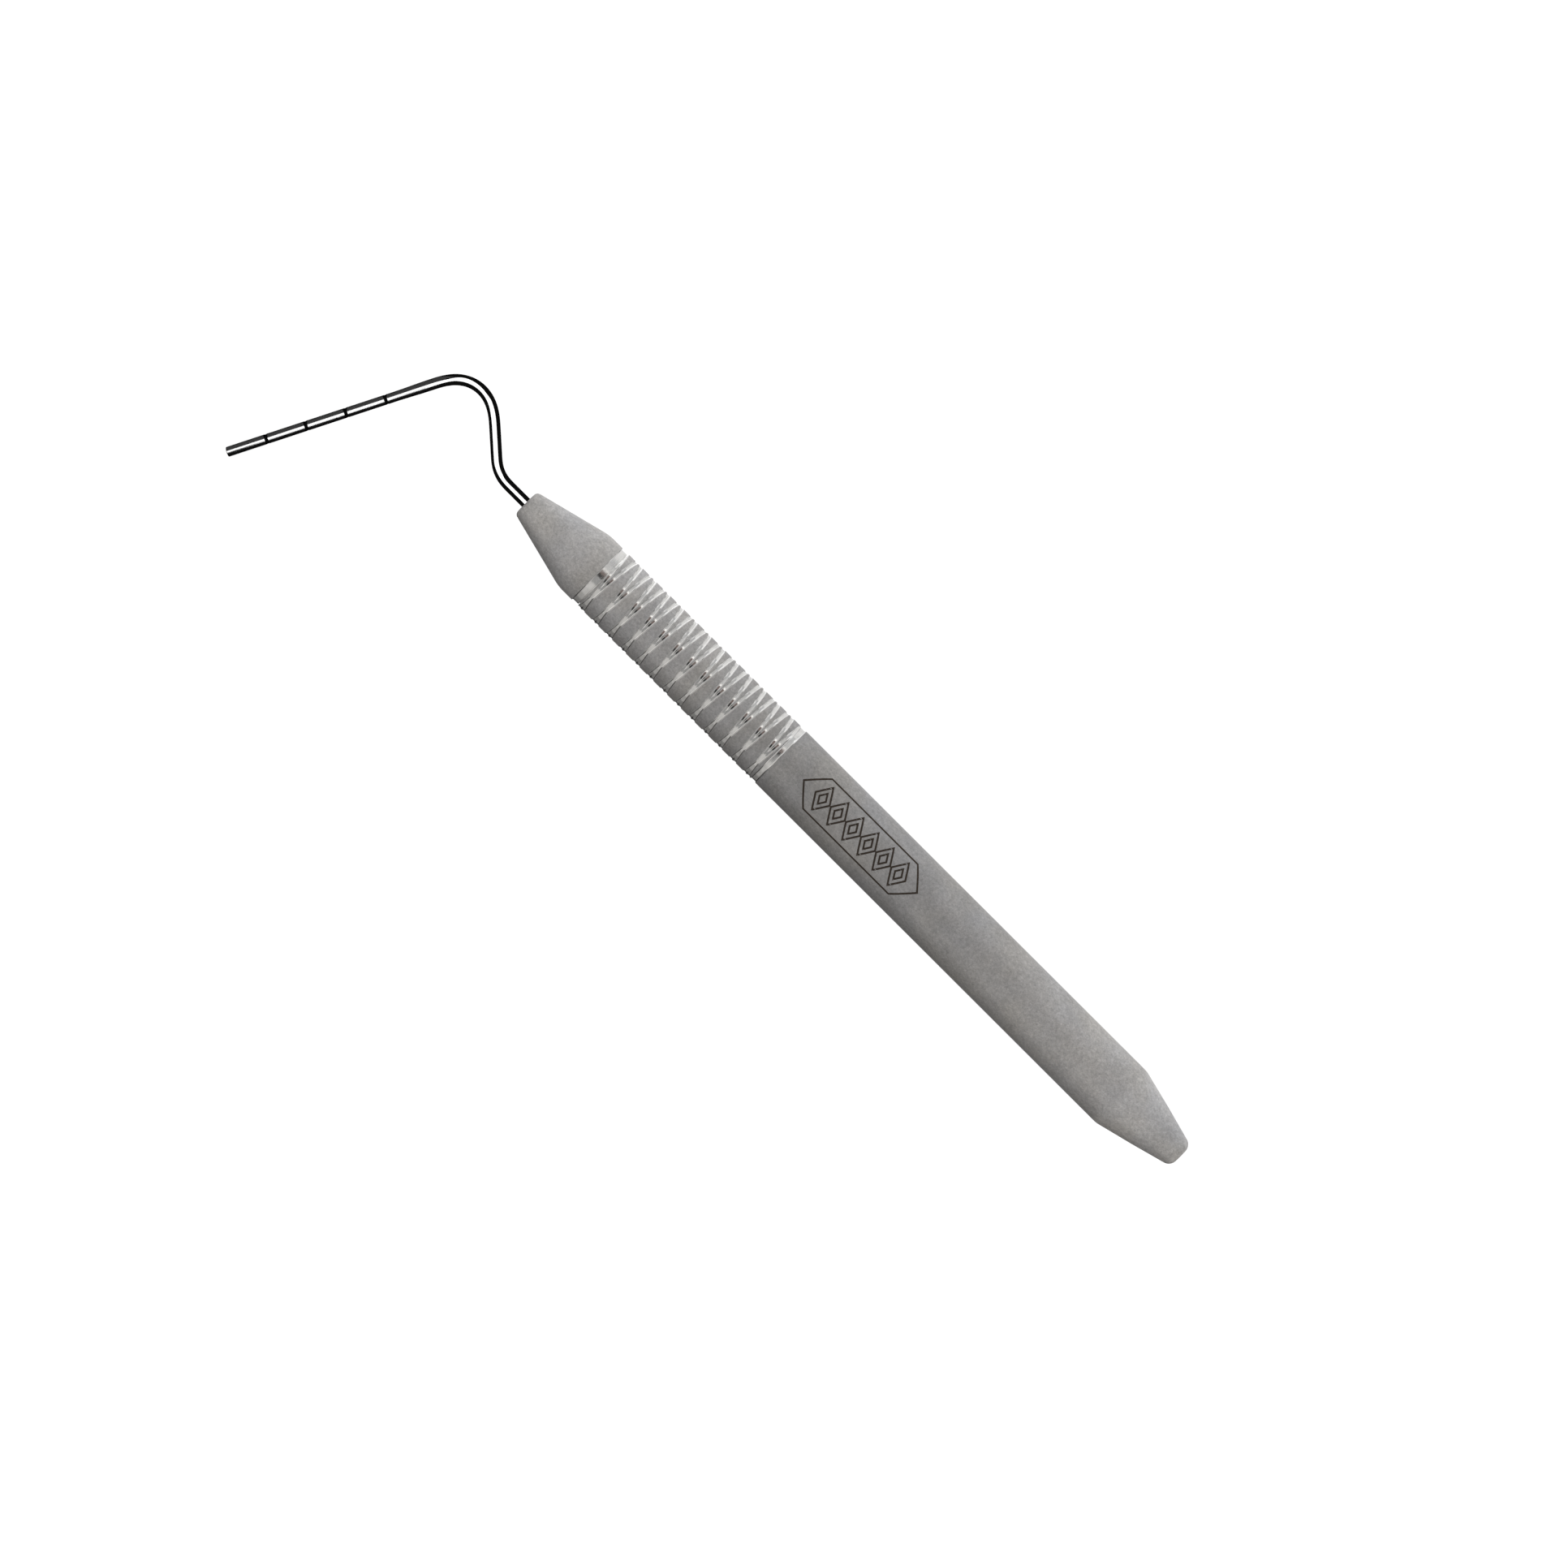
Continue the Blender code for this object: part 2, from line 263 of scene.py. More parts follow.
def turned_steel(name, line_depth, roughness):
    """Bright turned steel with fine lathe lines round the handle, line_depth deep."""
    material, nodes, link = material_with(name)
    shader = nodes["Principled BSDF"]
    shader.inputs["Metallic"].default_value = 1.0
    place = nodes.new("ShaderNodeTexCoord").outputs["Object"]
    stretch = nodes.new("ShaderNodeMapping")
    stretch.inputs["Scale"].default_value = (1.0, 0.06, 0.06)
    link(place, stretch.inputs["Vector"])
    lines = noise(nodes, link, stretch.outputs["Vector"], 0.03 * MM, detail=2.0)
    stains = noise(nodes, link, place, 1.2 * MM, detail=2.0)
    colour = ramp(nodes, link, stains, [(0.3, (0.80, 0.79, 0.77)), (0.7, (0.92, 0.91, 0.89))])
    gloss = ramp(nodes, link, stains, [(0.3, 1.3 * roughness), (0.7, 0.7 * roughness)])
    link(colour, shader.inputs["Base Color"])
    link(gloss, shader.inputs["Roughness"])
    bump(nodes, link, shader, lines, line_depth)
    return material


def rod_steel():
    """The rod: a mirror-polished shank that turns into a satin marked length, both slightly uneven."""
    material, nodes, link = material_with("rod_steel")
    shader = nodes["Principled BSDF"]
    shader.inputs["Metallic"].default_value = 1.0
    surface = nodes.new("ShaderNodeUVMap").outputs["UV"]
    split = nodes.new("ShaderNodeSeparateXYZ")
    link(surface, split.inputs["Vector"])
    marked = nodes.new("ShaderNodeMapRange")
    marked.interpolation_type = "SMOOTHSTEP"
    marked.inputs["From Min"].default_value = (BEND_2_START + 0.75 * BEND_2_LENGTH) / MM
    marked.inputs["From Max"].default_value = (BEND_2_START + 1.1 * BEND_2_LENGTH) / MM
    link(split.outputs["X"], marked.inputs["Value"])
    hatch = nodes.new("ShaderNodeTexNoise")
    hatch.inputs["Scale"].default_value = 9.0
    hatch.inputs["Detail"].default_value = 2.0
    stretch = nodes.new("ShaderNodeMapping")
    stretch.inputs["Scale"].default_value = (1.0, 0.5, 1.0)
    stretch.inputs["Rotation"].default_value = (0, 0, math.radians(20))
    link(surface, stretch.inputs["Vector"])
    link(stretch.outputs["Vector"], hatch.inputs["Vector"])
    plain = ramp(nodes, link, hatch.outputs["Fac"], [(0.3, 0.90), (0.7, 0.95)])
    ground = ramp(nodes, link, hatch.outputs["Fac"], [(0.35, 0.72), (0.65, 0.92)])
    link(mixed(nodes, link, plain, ground, marked.outputs["Result"]), shader.inputs["Base Color"])
    bright = ramp(nodes, link, hatch.outputs["Fac"], [(0.3, 0.07), (0.7, 0.05)])
    satin = ramp(nodes, link, hatch.outputs["Fac"], [(0.3, 0.20), (0.7, 0.13)])
    link(mixed(nodes, link, bright, satin, marked.outputs["Result"]), shader.inputs["Roughness"])
    bump(nodes, link, shader, hatch.outputs["Fac"], 0.002 * MM, 0.4)
    return material


def black_enamel():
    """The fill of the depth marks: near-black, slightly uneven and almost matt."""
    material, nodes, link = material_with("black_enamel")
    shader = nodes["Principled BSDF"]
    shader.inputs["Specular IOR Level"].default_value = 0.02
    place = nodes.new("ShaderNodeTexCoord").outputs["Object"]
    patches = noise(nodes, link, place, 0.08 * MM, detail=2.0)
    link(ramp(nodes, link, patches, [(0.3, 0.002), (0.7, 0.006)]), shader.inputs["Base Color"])
    link(ramp(nodes, link, patches, [(0.3, 0.5), (0.7, 0.38)]), shader.inputs["Roughness"])
    bump(nodes, link, shader, patches, 0.004 * MM, 0.5)
    return material


def etched_steel():
    """The emblem's lines: oxidised brown-black by the etching, with the blasted grain still in them."""
    material, nodes, link = material_with("etched_steel")
    shader = nodes["Principled BSDF"]
    shader.inputs["Metallic"].default_value = 1.0
    place = nodes.new("ShaderNodeTexCoord").outputs["Object"]
    burn = noise(nodes, link, place, 0.25 * MM, detail=3.0, roughness=0.6)
    colour = ramp(nodes, link, burn, [(0.3, (0.075, 0.060, 0.048)), (0.7, (0.105, 0.088, 0.074))])
    link(colour, shader.inputs["Base Color"])
    link(ramp(nodes, link, burn, [(0.3, 0.66), (0.7, 0.58)]), shader.inputs["Roughness"])
    bump(nodes, link, shader, burn, 0.01 * MM, 0.5)
    return material


# ---------------------------------------------------------------- mesh work


def add_piece(name, bm, materials, slot, *nodes, merge=True):
    """Lays a bmesh of the handle's frame where the CAD model lies and puts it in the place of CAD nodes."""
    if merge:
        bmesh.ops.remove_doubles(bm, verts=bm.verts, dist=MERGE)
    bmesh.ops.recalc_face_normals(bm, faces=bm.faces)
    bm.transform(HANDLE_TO_WORLD)
    mesh = bpy.data.meshes.new(name)
    bm.to_mesh(mesh)
    bm.free()
    mesh.shade_smooth()
    mesh.set_sharp_from_angle(angle=SHARP_ANGLE)
    for material in materials:
        mesh.materials.append(material)
    piece = bpy.data.objects.new(name, mesh)
    bpy.context.scene.collection.objects.link(piece)
    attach(piece, "root")
    if nodes:
        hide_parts(*nodes)
    return piece


def rounded(corners, steps=8):
    """An outline through corners (x, r), where a third value is the radius that rounds the corner."""
    points = []
    for index, corner in enumerate(corners):
        here = Vector(corner[:2])
        if len(corner) == 2:
            points.append(here)
            continue
        before = (Vector(corners[index - 1][:2]) - here).normalized()
        after = (Vector(corners[index + 1][:2]) - here).normalized()
        half_angle = before.angle(after) / 2
        centre = here + (before + after).normalized() * corner[2] / math.sin(half_angle)
        tangent = corner[2] / math.tan(half_angle)
        start = (here + before * tangent - centre).normalized()
        end = (here + after * tangent - centre).normalized()
        for step in range(steps + 1):
            points.append(centre + start.slerp(end, step / steps) * corner[2])
    return points


def lathe(outline, sides):
    """Turns an outline of (x, r) points, which starts and ends on the X axis, about that axis."""
    bm = bmesh.new()
    verts = [bm.verts.new((x, 0, r)) for x, r in outline]
    edges = [bm.edges.new(pair) for pair in zip(verts, verts[1:])]
    bmesh.ops.spin(
        bm,
        geom=verts + edges,
        axis=(1, 0, 0),
        cent=(0, 0, 0),
        angle=2 * math.pi,
        steps=sides,
        use_merge=True,
    )
    return bm


def nose_shell(materials):
    """The front cone with its rounded edges, the bright neck behind it, socket and spigot."""
    socket_end = TANG_LENGTH + MARK_GAP
    socket = SHANK_RADIUS + MARK_GAP
    neck = HANDLE_RADIUS - NECK_DEPTH
    shoulder = GRIP_START - FRONT_SEAM
    collar = neck - FRONT_SEAM_DEPTH
    spigot_end = GRIP_START + SPIGOT_LENGTH
    outline = rounded([
        (-socket_end, 0),
        (-socket_end, socket),
        (-EDGE_BREAK, socket),
        (0, socket + EDGE_BREAK),
        (0, NOSE_FACE_RADIUS, NOSE_CORNER),
        (-NOSE_CONE_END, HANDLE_RADIUS, NOSE_SHOULDER),
        (-NECK_START, HANDLE_RADIUS, EDGE_BREAK),
        (-NECK_START, neck, NECK_COVE),
        (-shoulder, neck, EDGE_BREAK),
        (-shoulder, collar),
        (-GRIP_START + MARK_GAP, collar),
        (-GRIP_START + MARK_GAP, SPIGOT_RADIUS),
        (-spigot_end + SPIGOT_CHAMFER, SPIGOT_RADIUS),
        (-spigot_end, SPIGOT_RADIUS - SPIGOT_CHAMFER),
        (-spigot_end, 0),
    ])
    bm = lathe(outline, LATHE_SIDES)
    for face in bm.faces:
        centre = face.calc_center_median()
        in_neck = centre.x < -NECK_START + EDGE_BREAK / 2 and centre.yz.length < HANDLE_RADIUS - EDGE_BREAK
        face.material_index = TURNED if in_neck else BLASTED
    return add_piece("nose_shell", bm, materials, "blasted_steel", "nose_cone")


def rear_cap(materials):
    """The tapered rear end, rounded into a small flat, with its hidden spigot."""
    shoulder = SEAM_REAR + REAR_SEAM
    spigot_end = SEAM_REAR - SPIGOT_LENGTH
    outline = rounded([
        (-spigot_end, 0),
        (-spigot_end, SPIGOT_RADIUS - SPIGOT_CHAMFER),
        (-spigot_end - SPIGOT_CHAMFER, SPIGOT_RADIUS),
        (-shoulder, SPIGOT_RADIUS),
        (-shoulder, HANDLE_RADIUS),
        (-TAPER_START, HANDLE_RADIUS, TAPER_SHOULDER),
        (-TAPER_MIDDLE, TAPER_MIDDLE_RADIUS, TAPER_BULGE),
        (-HANDLE_LENGTH, TAPER_END_RADIUS, REAR_CORNER),
        (-HANDLE_LENGTH, 0),
    ])
    return add_piece("rear_cap", lathe(outline, LATHE_SIDES), materials, "blasted_steel", "end_plug")


def groove_lines():
    """(offset, depth) of the mesh lines over one lead, starting in the middle of a groove."""
    half = [(across * GROOVE_WIDTH / 2, down * GROOVE_DEPTH) for across, down in GROOVE_SHAPE]
    land_start = GROOVE_WIDTH / 2 + LAND_EDGE
    land_width = GROOVE_LEAD - 2 * land_start
    land = [(land_start + land_width * index / LAND_LINES, 0.0) for index in range(LAND_LINES + 1)]
    mirrored = [(GROOVE_LEAD - offset, depth) for offset, depth in reversed(half)]
    return [(0.0, GROOVE_DEPTH)] + half + land + mirrored


def grip_surface(bm):
    """The grip's skin, meshed along both families of helical grooves.

    A line of the first family keeps a = x - lead * turn, one of the second keeps b = x + lead * turn, so
    every crossing of two lines is a point (x, turn), and every groove edge is an edge of the mesh.
    """
    lines = groove_lines()
    per_lead = len(lines)
    reach = max(GRIP_END - GRIP_MIDDLE, GRIP_MIDDLE - GRIP_START)
    leads = math.ceil(reach / GROOVE_LEAD) + 1

    def line(index):
        lead, which = divmod(index, per_lead)
        return lead * GROOVE_LEAD + lines[which][0], lines[which][1]

    verts = {}

    def vertex(first, second):
        """The mesh point where two lines cross; a full turn later it is the same point."""
        turns = (line(second)[0] - line(first)[0]) / (2 * GROOVE_LEAD)
        whole = math.floor(turns + ROUNDING)
        key = (first + whole * per_lead, second - whole * per_lead)
        if key not in verts:
            a, a_depth = line(key[0])
            b, b_depth = line(key[1])
            angle = CROSSING_ANGLE + math.pi * (b - a) / GROOVE_LEAD
            radius = HANDLE_RADIUS - max(a_depth, b_depth)
            x = (a + b) / 2 - GRIP_MIDDLE
            verts[key] = bm.verts.new((x, radius * math.sin(angle), radius * math.cos(angle)))
        return verts[key]

    for first in range(-2 * leads * per_lead, 2 * leads * per_lead):
        a, a_depth = line(first)
        a_next, a_next_depth = line(first + 1)
        second = first
        while line(second)[0] - a < 2 * GROOVE_LEAD - ROUNDING:
            b, b_depth = line(second)
            b_next, b_next_depth = line(second + 1)
            if (a_next + b_next) / 2 > -reach and (a + b) / 2 < reach:
                face = bm.faces.new([
                    vertex(first, second),
                    vertex(first + 1, second),
                    vertex(first + 1, second + 1),
                    vertex(first, second + 1),
                ])
                cut = max(a_depth, a_next_depth, b_depth, b_next_depth) > 0
                face.material_index = GROOVED if cut else BLASTED
            second += 1
    for end, outward in ((-GRIP_START, 1), (-GRIP_END, -1)):
        bmesh.ops.bisect_plane(
            bm,
            geom=bm.verts[:] + bm.edges[:] + bm.faces[:],
            dist=TRIM_SLACK,
            plane_co=(end, 0, 0),
            plane_no=(outward, 0, 0),
            clear_outer=True,
        )


def extend(bm, ring, x, radius, material):
    """Adds a band of faces from a ring of edges to a new ring at x and radius, and returns its edges."""
    made = bmesh.ops.extrude_edge_only(bm, edges=ring)["geom"]
    verts = {item for item in made if isinstance(item, bmesh.types.BMVert)}
    for vert in verts:
        scale = radius / vert.co.yz.length
        vert.co = (x, vert.co.y * scale, vert.co.z * scale)
    for item in made:
        if isinstance(item, bmesh.types.BMFace):
            item.material_index = material
    return [item for item in made if isinstance(item, bmesh.types.BMEdge) and set(item.verts) <= verts]


def barrel(materials):
    """The tube in one mesh: grip, relief groove, plain length and bore."""
    bm = bmesh.new()
    grip_surface(bm)
    open_edges = [edge for edge in bm.edges if edge.is_boundary]
    front = [edge for edge in open_edges if edge.verts[0].co.x > -GRIP_MIDDLE]
    rear = [edge for edge in open_edges if edge.verts[0].co.x <= -GRIP_MIDDLE]
    relief_end = GRIP_END + RELIEF_WIDTH
    relief = HANDLE_RADIUS - RELIEF_DEPTH
    bore_middle = (GRIP_START + SEAM_REAR) / 2
    rear_profile = (
        *((GRIP_END + across, relief + up, TURNED) for across, up in RELIEF_COVE),
        *((relief_end - across, relief + up, TURNED) for across, up in reversed(RELIEF_COVE)),
        (relief_end, HANDLE_RADIUS - EDGE_BREAK, TURNED),
        (relief_end + EDGE_BREAK, HANDLE_RADIUS, TURNED),
        (relief_end + RELIEF_LIP, HANDLE_RADIUS, BLASTED),
        (SEAM_REAR, HANDLE_RADIUS, BLASTED),
        (SEAM_REAR, BORE_RADIUS, BLASTED),
        (bore_middle, BORE_RADIUS, TURNED),
    )
    for back, radius, material in rear_profile:
        rear = extend(bm, rear, -back, radius, material)
    for back, radius in ((GRIP_START, BORE_RADIUS), (bore_middle, BORE_RADIUS)):
        front = extend(bm, front, -back, radius, TURNED)
    rims = list({vert for edge in front + rear for vert in edge.verts})
    bmesh.ops.remove_doubles(bm, verts=rims, dist=RIM_MERGE)
    return add_piece("grip_barrel", bm, materials, "blasted_steel", "handle_tube")


def stroke(bm, corners, width):
    """A closed line of even width on the barrel, through corners (along, round), as a thin curved solid."""
    count = len(corners)
    edges = []
    for index in range(count):
        here = Vector(corners[index])
        before = (here - Vector(corners[index - 1])).normalized()
        after = (Vector(corners[(index + 1) % count]) - here).normalized()
        mitre = (before + after).normalized().orthogonal()
        reach = width / 2 / before.orthogonal().dot(mitre)
        edges.append((here - mitre * reach, here + mitre * reach))
    rows = []
    for index in range(count):
        start, end = edges[index], edges[(index + 1) % count]
        steps = max(1, math.ceil((end[0] - start[0]).length / EMBLEM_STEP))
        for step in range(steps):
            left = start[0].lerp(end[0], step / steps)
            right = start[1].lerp(end[1], step / steps)
            rows.append([
                on_barrel(bm, left, EMBLEM_FILM),
                on_barrel(bm, right, EMBLEM_FILM),
                on_barrel(bm, right, -EMBLEM_SINK),
                on_barrel(bm, left, -EMBLEM_SINK),
            ])
    for row, following in zip(rows, rows[1:] + rows[:1]):
        for side in range(4):
            bm.faces.new((row[side], row[(side + 1) % 4], following[(side + 1) % 4], following[side]))


def on_barrel(bm, point, height):
    """A mesh point at (along, round) on the barrel, at a height over its surface."""
    radius = HANDLE_RADIUS + height
    angle = ROLL_TO_VIEW + point.y / HANDLE_RADIUS
    return bm.verts.new((point.x - EMBLEM_MIDDLE, radius * math.sin(angle), radius * math.cos(angle)))



def emblem(material):
    """A generic etched figure: a long pointed frame round lozenges, each with a smaller one inside."""
    bm = bmesh.new()
    half_length, half_height = EMBLEM_LENGTH / 2, EMBLEM_HEIGHT / 2
    flat = half_length - EMBLEM_POINT
    stroke(
        bm,
        [
            (half_length, 0),
            (flat, half_height),
            (-flat, half_height),
            (-half_length, 0),
            (-flat, -half_height),
            (flat, -half_height),
        ],
        EMBLEM_LINE,
    )
    for index in range(LOZENGES):
        middle = (index - (LOZENGES - 1) / 2) * LOZENGE_PITCH
        for share in (1.0, CORE_SHARE):
            long, high = LOZENGE_LENGTH / 2 * share, LOZENGE_HEIGHT / 2 * share
            corners = [(middle + long, 0), (middle, high), (middle - long, 0), (middle, -high)]
            stroke(bm, corners, EMBLEM_LINE)
    return add_piece("etched_emblem", bm, [material], "blasted_steel", merge=False)


# ---------------------------------------------------------------- rod


def eased(share):
    """Runs from 0 to 1 with a soft start and end, so that the rod's curvature grows and fades."""
    share = min(max(share, 0), 1)
    return share * share * (3 - 2 * share)


def heading(along):
    """The centreline's direction in the bend plane, as an angle from +X."""
    first = eased((along - LEAD_OUT) / BEND_1_LENGTH)
    second = eased((along - BEND_2_START) / BEND_2_LENGTH)
    return BEND_1_TURN * first + BEND_2_TURN * second


def centre(along, step=0.1 * MM):
    """The centreline's point at a distance from the nose face, by adding up short straight steps."""
    if along <= LEAD_OUT:
        return Vector((along, 0, 0))
    count = math.ceil((along - LEAD_OUT) / step)
    piece = (along - LEAD_OUT) / count
    point = Vector((LEAD_OUT, 0, 0))
    for index in range(count):
        turn = heading(LEAD_OUT + (index + 0.5) * piece)
        point += Vector((math.cos(turn), math.sin(turn), 0)) * piece
    return point


def rod_radius(along):
    """The drawn rod thins from the shank to the marked length."""
    share = (along - (BEND_2_START + BEND_2_LENGTH)) / SHANK_TAPER
    return SHANK_RADIUS + (TIP_RADIUS - SHANK_RADIUS) * eased(share)


def rod_stations():
    """Pairs of (distance along the centreline, radius) for every ring of the rod, back to front."""
    stations = [
        (-TANG_LENGTH, SHANK_RADIUS - EDGE_BREAK),
        (-TANG_LENGTH + EDGE_BREAK, SHANK_RADIUS),
        (0, SHANK_RADIUS),
    ]
    count = round((MARKS_START - LEAD_OUT) / STATION_STEP)
    for index in range(count + 1):
        along = LEAD_OUT + (MARKS_START - LEAD_OUT) * index / count
        stations.append((along, rod_radius(along)))
    for distance in sorted(MARKS, reverse=True):
        middle = ROD_LENGTH - distance * MM
        half = MARK_WIDTH / 2
        floor = TIP_RADIUS - MARK_DEPTH
        stations += [
            (middle - half - EDGE_BREAK, TIP_RADIUS),
            (middle - half, TIP_RADIUS - EDGE_BREAK),
            (middle - half, floor),
            (middle + half, floor),
            (middle + half, TIP_RADIUS - EDGE_BREAK),
            (middle + half + EDGE_BREAK, TIP_RADIUS),
        ]
    for step in range(TIP_ROUND_STEPS + 1):
        turn = math.pi / 2 * step / TIP_ROUND_STEPS
        stations.append((
            ROD_LENGTH - TIP_ROUND * (1 - math.sin(turn)),
            TIP_RADIUS - TIP_ROUND * (1 - math.cos(turn)),
        ))
    return stations


def rod(material):
    """The bent rod with its tang, grooves for the marks and softly broken tip edge.

    Its UV map is in millimetres along the centreline and round the surface.
    """
    bm = bmesh.new()
    surface = bm.loops.layers.uv.new("UVMap")
    rings = []
    stations = rod_stations()
    for along, radius in stations:
        turn = heading(along)
        sideways = Vector((-math.sin(turn), math.cos(turn), 0))
        ring = []
        for side in range(ROD_SIDES):
            angle = 2 * math.pi * side / ROD_SIDES
            offset = sideways * math.cos(angle) + Vector((0, 0, math.sin(angle)))
            ring.append(bm.verts.new(centre(along) + offset * radius))
        rings.append(ring)
    for index in range(len(rings) - 1):
        back, front = rings[index], rings[index + 1]
        for side in range(ROD_SIDES):
            after = (side + 1) % ROD_SIDES
            face = bm.faces.new((back[side], back[after], front[after], front[side]))
            places = ((index, side), (index, side + 1), (index + 1, side + 1), (index + 1, side))
            for loop, (station, step) in zip(face.loops, places):
                round_mm = 2 * math.pi * TIP_RADIUS / MM * step / ROD_SIDES
                loop[surface].uv = (stations[station][0] / MM, round_mm)
    bm.faces.new(rings[0])
    bm.faces.new(rings[-1])
    return add_piece("plugger_rod", bm, [material], "polished_steel", "working_end", merge=False)


def mark_ring(distance, material):
    """The enamel in one groove, sunk a little in its middle and smeared wider over the rod's flanks."""
    inner = TIP_RADIUS - MARK_DEPTH + MARK_GAP
    half = MARK_WIDTH / 2 - MARK_GAP
    across = (-1.0, -0.66, -0.33, 0.0, 0.33, 0.66, 1.0)
    bm = bmesh.new()
    rings = []
    for side in range(ROD_SIDES):
        angle = 2 * math.pi * side / ROD_SIDES
        smeared = half + max(MARK_SMEAR * abs(math.cos(angle)), MARK_GAP)
        profile = [(-half, inner), (-smeared, TIP_RADIUS + MARK_FILM)]
        for share in across:
            dip = MARK_DIP * (1 - share * share)
            profile.append((share * half, TIP_RADIUS + MARK_FILM - dip))
        profile += [(smeared, TIP_RADIUS + MARK_FILM), (half, inner)]
        rings.append([bm.verts.new((x, r * math.cos(angle), r * math.sin(angle))) for x, r in profile])
    for ring, following in zip(rings, rings[1:] + rings[:1]):
        for index in range(len(ring)):
            after = (index + 1) % len(ring)
            bm.faces.new((ring[index], ring[after], following[after], following[index]))
    middle = centre(ROD_LENGTH - distance * MM)
    bm.transform(Matrix.Translation(middle) @ Matrix.Rotation(TIP_HEADING, 4, "Z"))
    return add_piece(MARKS[distance], bm, [material], "black_enamel", f"depth_mark_{distance:02d}")


# ---------------------------------------------------------------- stage

VIEW_CENTRE = Vector((-5.31 * MM, -5.26 * MM, 0))
VIEW_WIDTH = 184.0 * MM
VIEW_TURN = math.radians(-135.06)
CAMERA_HEIGHT = 2.0
FLOOR_HALF = 6.0
PICTURE_RIGHT = Vector((math.cos(VIEW_TURN), math.sin(VIEW_TURN), 0))
PICTURE_UP = Vector((-math.sin(VIEW_TURN), math.cos(VIEW_TURN), 0))
PANEL_DISTANCE = 0.5
END_PANEL_DISTANCE = 0.2
# Where the panels over the middle and over each end start and stop, as angles in degrees along the handle
MIDDLE_SPAN = (-15, 15)
FRONT_SPAN = (18, 60)
REAR_SPAN = (-60, -18)
ROOM_SIZE = (0.6, 0.6)
FILL_SIZE = (0.5, 0.5)
ROD_MIDDLE = (AXIS + TIP) / 2
WARM, NEUTRAL, COOL = (1.0, 0.985, 0.965), (1.0, 1.0, 1.0), (0.98, 0.988, 1.0)
BROWN = (1.0, 0.8, 0.75)


def add_camera():
    """A long lens straight above the tray, turned so that the handle runs down to the right."""
    data = bpy.data.cameras.new("camera")
    data.sensor_width = 36.0
    data.lens = data.sensor_width * (CAMERA_HEIGHT - AXIS.z) / VIEW_WIDTH
    data.clip_end = 10.0
    camera = bpy.data.objects.new("camera", data)
    camera.location = VIEW_CENTRE + Vector((0, 0, CAMERA_HEIGHT))
    camera.rotation_euler = (0, 0, VIEW_TURN)
    bpy.context.scene.collection.objects.link(camera)
    bpy.context.scene.camera = camera


def add_floor():
    """A plain white tray top. It glows a little, so that the shadows on it stay faint."""
    mesh = bpy.data.meshes.new("floor")
    corners = [(x * FLOOR_HALF, y * FLOOR_HALF, 0) for x, y in ((-1, -1), (1, -1), (1, 1), (-1, 1))]
    mesh.from_pydata(corners, [], [(0, 1, 2, 3)])
    floor = bpy.data.objects.new("floor", mesh)
    bpy.context.scene.collection.objects.link(floor)
    material, nodes, _ = material_with("white_floor")
    shader = nodes["Principled BSDF"]
    shader.inputs["Base Color"].default_value = (0.9, 0.9, 0.9, 1)
    shader.inputs["Roughness"].default_value = 1.0
    shader.inputs["Specular IOR Level"].default_value = 0.0
    shader.inputs["Emission Color"].default_value = (1, 1, 1, 1)
    shader.inputs["Emission Strength"].default_value = 0.8
    mesh.materials.append(material)
    floor.visible_glossy = False
    floor.visible_diffuse = False
    floor.visible_shadow = False
    return floor


def add_world():
    """White to the camera, and a dim grey room to the steel."""
    world = bpy.data.worlds.new("studio")
    bpy.context.scene.world = world
    world.use_nodes = True
    nodes, link = world.node_tree.nodes, world.node_tree.links.new
    background = nodes["Background"]
    background.inputs["Color"].default_value = (0.004, 0.004, 0.004, 1)
    backdrop = nodes.new("ShaderNodeBackground")
    backdrop.inputs["Color"].default_value = (0.97, 0.97, 0.97, 1)
    pick = nodes.new("ShaderNodeMixShader")
    link(nodes.new("ShaderNodeLightPath").outputs["Is Camera Ray"], pick.inputs["Fac"])
    link(background.outputs["Background"], pick.inputs[1])
    link(backdrop.outputs["Background"], pick.inputs[2])
    link(pick.outputs["Shader"], nodes["World Output"].inputs["Surface"])


def add_panel(name, direction, along, size, radiance, colour, lit, target, distance=PANEL_DISTANCE):
    """A soft panel that faces target from a direction, one side parallel to along. It lights lit alone."""
    data = bpy.data.lights.new(name, "AREA")
    data.shape = "RECTANGLE"
    data.size, data.size_y = size
    data.energy = radiance * math.pi * size[0] * size[1]
    data.color = colour
    panel = bpy.data.objects.new(name, data)
    back = direction.normalized()
    side = (along - back * along.dot(back)).normalized()
    up = back.cross(side)
    place = Matrix((side, up, back)).transposed().to_4x4()
    place.translation = target + back * distance
    panel.matrix_world = place
    panel.visible_camera = False
    bpy.context.scene.collection.objects.link(panel)
    panel.light_linking.receiver_collection = lit
    return panel


def strip(name, low, high, span, radiance, colour, lit, distance):
    """A panel parallel to the handle, from angle low to high across it and over a span along it."""
    middle = math.radians((low + high) / 2)
    width = 2 * distance * math.tan(math.radians(high - low) / 2)
    near, far = (distance * math.tan(math.radians(angle)) for angle in span)
    direction = Vector((0, math.sin(middle), math.cos(middle)))
    target = AXIS + Vector((-HANDLE_LENGTH / 2 + (near + far) / 2, 0, 0))
    along = Vector((1, 0, 0))
    return add_panel(name, direction, along, (far - near, width), radiance, colour, lit, target, distance)


